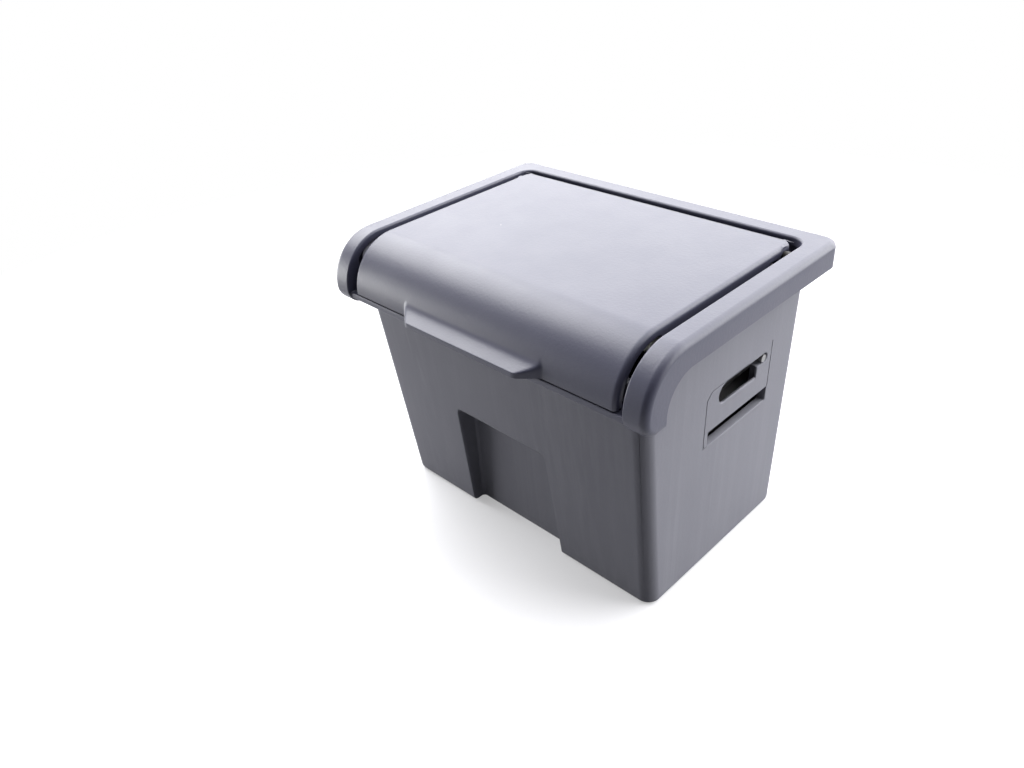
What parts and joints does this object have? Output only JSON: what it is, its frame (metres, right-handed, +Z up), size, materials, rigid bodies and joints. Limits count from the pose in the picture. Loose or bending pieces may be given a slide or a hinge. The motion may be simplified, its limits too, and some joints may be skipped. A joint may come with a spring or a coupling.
{
  "type": "car ashtray",
  "caption": "Drop-in car ashtray: a dark plastic tub under a clip-on bezel, with a hinged lid that has a finger tab, and a steel liner with a stub rest inside.",
  "frame": {"origin": "on the flat base, on the left-right centre plane, under the middle of the bezel's depth", "axes": "+X to the object's right seen from behind the front, -Y is the front with the finger tab, +Z is up, out of the console"},
  "size_m": [0.095, 0.0727, 0.0725],
  "materials": {
    "tub_plastic": "dark grey, fine grain, satin",
    "bezel_plastic": "dark blue-grey, fine grain, satin",
    "lid_plastic": "dark blue-grey, fine grain, satin, lightly scuffed",
    "sheet_steel": "plated sheet steel, dulled",
    "liner_enamel": "black heat-proof enamel, dull",
    "fastener_steel": "plain steel",
    "spring_wire": "drawn wire, bright",
    "buffer_rubber": "black, matt"
  },
  "bodies": {
    "body": {"tub": "tub_plastic", "bezel": "bezel_plastic", "left_hinge_pin": "fastener_steel", "right_hinge_pin": "fastener_steel", "left_detent_spring": "spring_wire", "right_detent_spring": "spring_wire", "ash_liner": "liner_enamel", "stub_rest": "sheet_steel", "stub_rest_rivets": "fastener_steel", "left_lid_buffer": "buffer_rubber", "right_lid_buffer": "buffer_rubber"},
    "lid_body": {"lid": "lid_plastic", "lid_heat_plate": "sheet_steel", "heat_plate_screws": "fastener_steel"}
  },
  "joints": [
    {"name": "lid_hinge", "type": "hinge", "parent": "body", "child": "lid_body", "pos_m": [0, 0.0238, 0.0705], "axis": [-1, 0, 0], "range_deg": [0, 100]}
  ]
}
